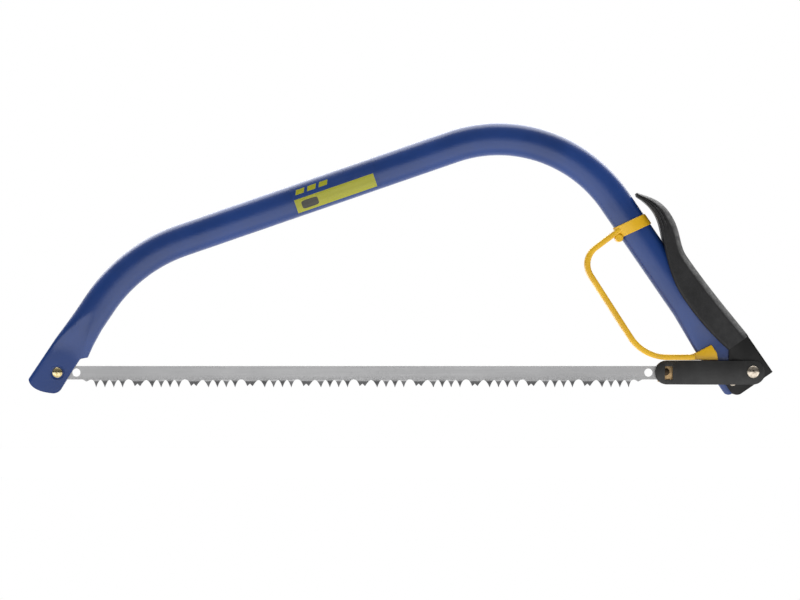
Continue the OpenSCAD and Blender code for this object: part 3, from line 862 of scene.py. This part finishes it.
def grip_ring(v):
    """The grip's section at v: a flat side, ridged in the hook, a chamfered back and a soft front edge."""
    back = between([(p[1], p[0]) for p in GRIP_BACK], v)
    fore = between([(p[1], p[0]) for p in GRIP_FRONT], min(v, 179.4))
    half = between([(25, 9.0), (44, 11.6), (62, 13.2), (78, 13.4), (112, 13.4), (140, 12.0), (184, 7.6)], v)
    if v > 179.5:
        fore += (v - 179.5) * 0.35
    wide = max(back - fore, 0.8)
    chamfer = min(5.6, 0.42 * wide)
    soft = min(2.4, 0.25 * wide)
    hooked = ramp(v, 138, 150) * (1 - ramp(v, 176, 182))
    side = []
    for i in range(7):
        a = pi / 2 * i / 6
        side.append((fore + soft - soft * cos(a), half - soft + soft * sin(a)))
    span = wide - chamfer - soft
    for i in range(1, 25):
        share = i / 24
        wave = max(0.0, sin(2 * pi * (1.7 * share + 0.05)))
        side.append((fore + soft + span * share, half - 0.9 * hooked * wave))
    drop = min(6.2, 0.55 * half)
    for i in range(1, 9):
        share = i / 8
        bulge = 0.35 * sin(pi * share)
        side.append((back - chamfer + chamfer * share, half - drop * share ** 1.25 + bulge))
    flat = half - drop
    side += [(back + 0.15, flat * 0.5)]
    near = [(u, -y) for u, y in side]
    far = [(u, y) for u, y in reversed(side)]
    return [(rear(u, v)[0], y, rear(u, v)[1]) for u, y in near + [(back + 0.2, 0.0)] + far]


def make_grip():
    heights = [25, 25.5, 26.2] + steps(27.5, 134, 56)
    heights += steps(135.5, 178, 34) + [179, 180, 180.9, 181.6, 182.1]
    grip = loft("moulded_grip", [grip_ring(v) for v in heights])
    gap = 0.6

    def tube_space(v):
        half = lambda share: HEEL_HALF + gap + (TUBE_T / 2 - HEEL_HALF) * ramp(v, 32, 82)
        return ring_at(rear(REAR_INSET, v), INTO_REAR, oval(30, TUBE_W / 2 + gap, half, half, 10, 4))

    cut(grip, loft("tube_space", [tube_space(v) for v in steps(10, 190, 45)]))
    return piece(grip, "lever", "grip_plastic", GRIP_PLASTIC, "lever_grip", sharp=38)


# ---- Hand guard ----

GUARD_T, GUARD_HALF, BAND_T = 4.8, 9.0, 1.2


def beside_pivot(x, z):
    return (LEVER_PIVOT[0] + x, LEVER_PIVOT[1] + z)


def filleted(corners, radii, n=14):
    """A path with round corners as (point, direction)."""
    path = [(corners[0], unit(corners[0], corners[1]))]
    for i, r in enumerate(radii, 1):
        before, after = unit(corners[i - 1], corners[i]), unit(corners[i], corners[i + 1])
        turn = atan2(before[0] * after[1] - before[1] * after[0], before[0] * after[0] + before[1] * after[1])
        reach = r * tan(turn / 2)
        centre = (corners[i][0] - before[0] * reach - before[1] * r,
                  corners[i][1] - before[1] * reach + before[0] * r)
        for t in steps(0, turn, n):
            d = (before[0] * cos(t) - before[1] * sin(t), before[0] * sin(t) + before[1] * cos(t))
            path.append(((centre[0] + d[1] * r, centre[1] - d[0] * r), d))
    path.append((corners[-1], unit(corners[-2], corners[-1])))
    return path


def round_box(half_a, half_b, r, n=5):
    """A rectangle with round corners as (a, b)."""
    points = []
    for sa, sb, from_deg in ((1, 1, 0), (-1, 1, 90), (-1, -1, 180), (1, -1, 270)):
        points += arc((sa * (half_a - r), sb * (half_b - r)), r, from_deg, from_deg + 90, n)
    return points


def guard_strap():
    """The guard's strip, from the band down and back to the heel."""
    strip_z = 30.3 + GUARD_T / 2
    corners = [beside_pivot(-96.2, 133.1), beside_pivot(-132.2, 106.3),
               (LEVER_PIVOT[0] - 77.4, strip_z), (LEVER_PIVOT[0] - 33, strip_z)]
    section = round_box(GUARD_T / 2, GUARD_HALF, 1.5)
    rings = []
    for (x, z), d in filleted(corners, (18, 38)):
        rings.append([(x - d[1] * a, b, z + d[0] * a) for a, b in section])
    return loft("hand_guard_moulded", rings)


def guard_band():
    """The band round the tube, tilted, with eased edges."""
    middle_v, half, tilt, ease = 160.8, 5.2, radians(9.5), 0.5
    rings = []
    for extra, h in ((-0.2, -half), (BAND_T - ease, -half), (BAND_T, -half + ease), (BAND_T, half - ease),
                     (BAND_T - ease, half), (-0.2, half)):
        ring = []
        for n, y in tube_section(extra):
            v = middle_v + h / cos(tilt) + n * tan(tilt)
            x, z = rear(REAR_INSET - n, v)
            ring.append((x, y, z))
        rings.append(ring)
    return loft("guard_band", rings, capped=False)


def make_guard():
    guard = guard_strap()
    lug_r, lug_e = 3.4, 0.7
    lug = [(0, -GUARD_HALF), (lug_r - lug_e, -GUARD_HALF), (lug_r, -GUARD_HALF + lug_e),
           (lug_r, GUARD_HALF - lug_e), (lug_r - lug_e, GUARD_HALF), (0, GUARD_HALF)]
    clip = [(-40, 18.8), (-12.5, 18.8), (-13.6, 24.8), (-18.5, 32.2), (-32.5, 24.8), (-40, 22.6)]
    wedge = prism("clip", [beside_pivot(*p) for p in clip], -HEEL_HALF - 1.8, HEEL_HALF + 1.8)
    eased(wedge, 0.7, 3, 20)
    heel = [(-11.4, -5), (40, -5), (40, 55), (-11.4, 45)]
    cut(wedge, prism("heel_space", [rear(*p) for p in heel], -HEEL_HALF + 0.1, HEEL_HALF - 0.1))
    cut(guard, wedge, lathe("lug", rear(-10.6, 158.6), lug, 32), how="UNION")
    room = [ring_at(rear(REAR_INSET, v), INTO_REAR, tube_section(-0.2)) for v in (120, 185)]
    cut(guard, loft("tube_room", room))
    cut(guard, guard_band(), how="UNION")
    return piece(guard, "frame", "yellow_plastic", YELLOW_PLASTIC, "hand_guard", sharp=32)


# ---- Studio ----


def make_world():
    """White to the camera; as light, bright from below, dim level with the saw and brighter overhead."""
    world = bpy.data.worlds.new("studio")
    bpy.context.scene.world = world
    world.use_nodes = True
    tree = world.node_tree
    sky, out = tree.nodes["Background"], tree.nodes["World Output"]
    place = tree.nodes.new("ShaderNodeTexCoord")
    split = tree.nodes.new("ShaderNodeSeparateXYZ")
    tree.links.new(place.outputs["Generated"], split.inputs[0])

    def by_height(low, high, light_low, light_high):
        """Light that changes with how high a direction points, from -1 straight down to 1 straight up."""
        node = tree.nodes.new("ShaderNodeMapRange")
        for socket, value in (("From Min", low), ("From Max", high),
                              ("To Min", light_low), ("To Max", light_high)):
            node.inputs[socket].default_value = value
        tree.links.new(split.outputs[2], node.inputs["Value"])
        return node.outputs[0]

    def added(a, b):
        node = tree.nodes.new("ShaderNodeMath")
        node.operation = "ADD"
        tree.links.new(a, node.inputs[0])
        tree.links.new(b, node.inputs[1])
        return node.outputs[0]

    overhead = by_height(0.15, 0.9, 0.035, 0.5)
    below = by_height(-0.04, 0.0, 1.95, 0.0)
    dimmer_straight_down = by_height(-0.95, -0.6, -0.9, 0.0)
    tree.links.new(added(overhead, added(below, dimmer_straight_down)), sky.inputs["Strength"])
    seen = tree.nodes.new("ShaderNodeBackground")
    for background in (sky, seen):
        background.inputs["Color"].default_value = (1, 1, 1, 1)
    path, both = tree.nodes.new("ShaderNodeLightPath"), tree.nodes.new("ShaderNodeMixShader")
    tree.links.new(path.outputs["Is Camera Ray"], both.inputs[0])
    tree.links.new(sky.outputs[0], both.inputs[1])
    tree.links.new(seen.outputs[0], both.inputs[2])
    tree.links.new(both.outputs[0], out.inputs["Surface"])


FLOOR_DROP = 0.07  # clear of the blade and link when the lever is open


def make_studio():
    """A small pale floor under and behind the saw, the world and one soft overhead light."""
    floor = bpy.data.meshes.new("floor")
    x, near, far = 0.6, -0.02, 0.5
    floor.from_pydata([(-x, near, 0), (x, near, 0), (x, far, 0), (-x, far, 0)], [], [(0, 1, 2, 3)])
    floor = bpy.data.objects.new("floor", floor)
    floor.location.z = -FLOOR_DROP
    bpy.context.scene.collection.objects.link(floor)
    p = Paint("pale_floor", Base_Color=(0.66, 0.66, 0.66), Roughness=0.9, Specular_IOR_Level=0.2)
    floor.data.materials.append(p.material)
    make_world()
    sun = bpy.data.lights.new("overhead_soft", "SUN")
    sun.energy, sun.angle = 6.4, radians(90)
    lamp = bpy.data.objects.new("overhead_soft", sun)
    lamp.rotation_euler = (radians(-34), 0, 0)
    bpy.context.scene.collection.objects.link(lamp)
    bpy.context.scene.view_settings.view_transform = "Standard"


def make_camera():
    """Straight on to the label side, far off with a long lens."""
    data = bpy.data.cameras.new("camera")
    data.lens, data.sensor_width = 150, 36
    camera = bpy.data.objects.new("camera", data)
    camera.location = (-0.0003, -2.899, 0.0824)
    camera.rotation_euler = (pi / 2, 0, 0)
    bpy.context.scene.collection.objects.link(camera)
    bpy.context.scene.camera = camera


make_camera()
make_tube()
make_label_film()
make_blade()
make_rivets()
make_link_plate("near_link_strap", -1, "link_plate_near")
make_link_plate("far_link_strap", 1, "link_plate_far")
make_hook_plate()
make_lever()
make_grip()
make_guard()
make_studio()
